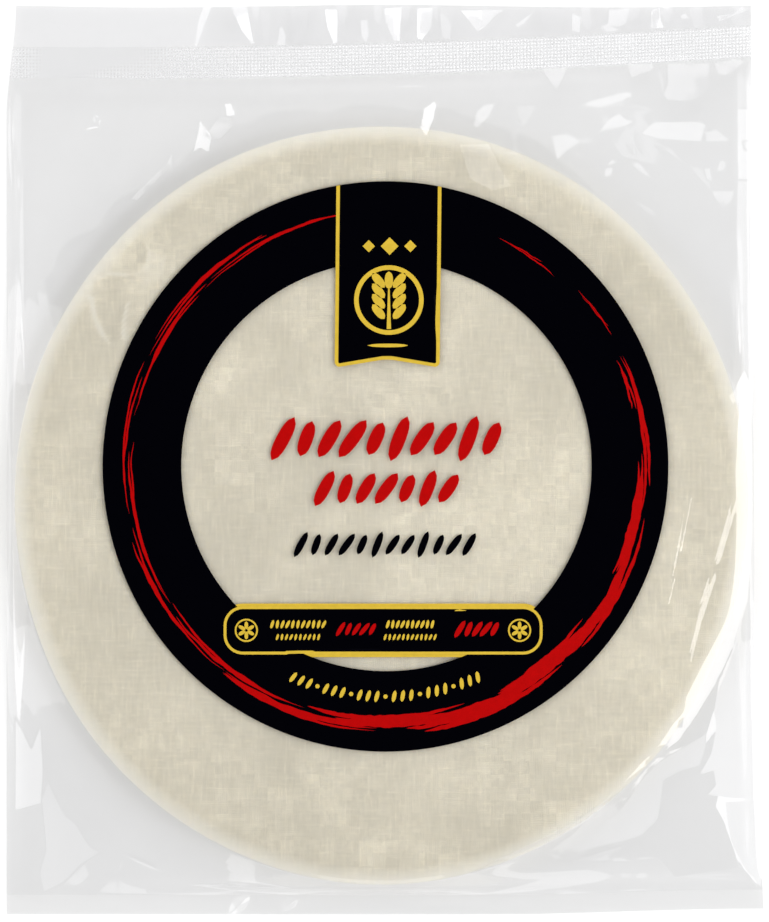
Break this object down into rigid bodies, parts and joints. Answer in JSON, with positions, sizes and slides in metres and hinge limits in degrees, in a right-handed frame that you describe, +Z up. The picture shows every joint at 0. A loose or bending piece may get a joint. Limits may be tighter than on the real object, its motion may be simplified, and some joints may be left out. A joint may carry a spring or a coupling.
{
  "type": "bagged rice paper wrapper stack",
  "caption": "Clear flat bag with a crimped header, drawn tight over a round stack of rice papers, with a printed ring, tab and bar on its face.",
  "frame": {"origin": "under the middle of the whole bag, on the surface it lies on", "axes": "+Z up out of the printed face, +Y from the welded foot to the crimped header, +X to the right of the print"},
  "size_m": [0.3149, 0.3783, 0.0138],
  "materials": {
    "clear_film": "thin clear glossy film, crumpled",
    "rice_sheet": "brittle translucent sheet with a basket weave pressed into it",
    "black_ink": "ink under glossy film",
    "gold_ink": "flat gold ink under glossy film",
    "red_ink": "flat red ink under glossy film"
  },
  "bodies": {
    "root": {"bag": "clear_film", "print_ring": "black_ink", "print_tab": "black_ink", "print_tab_edge": "gold_ink", "print_bar": "black_ink", "print_bar_edge": "gold_ink"}
  },
  "joints": []
}
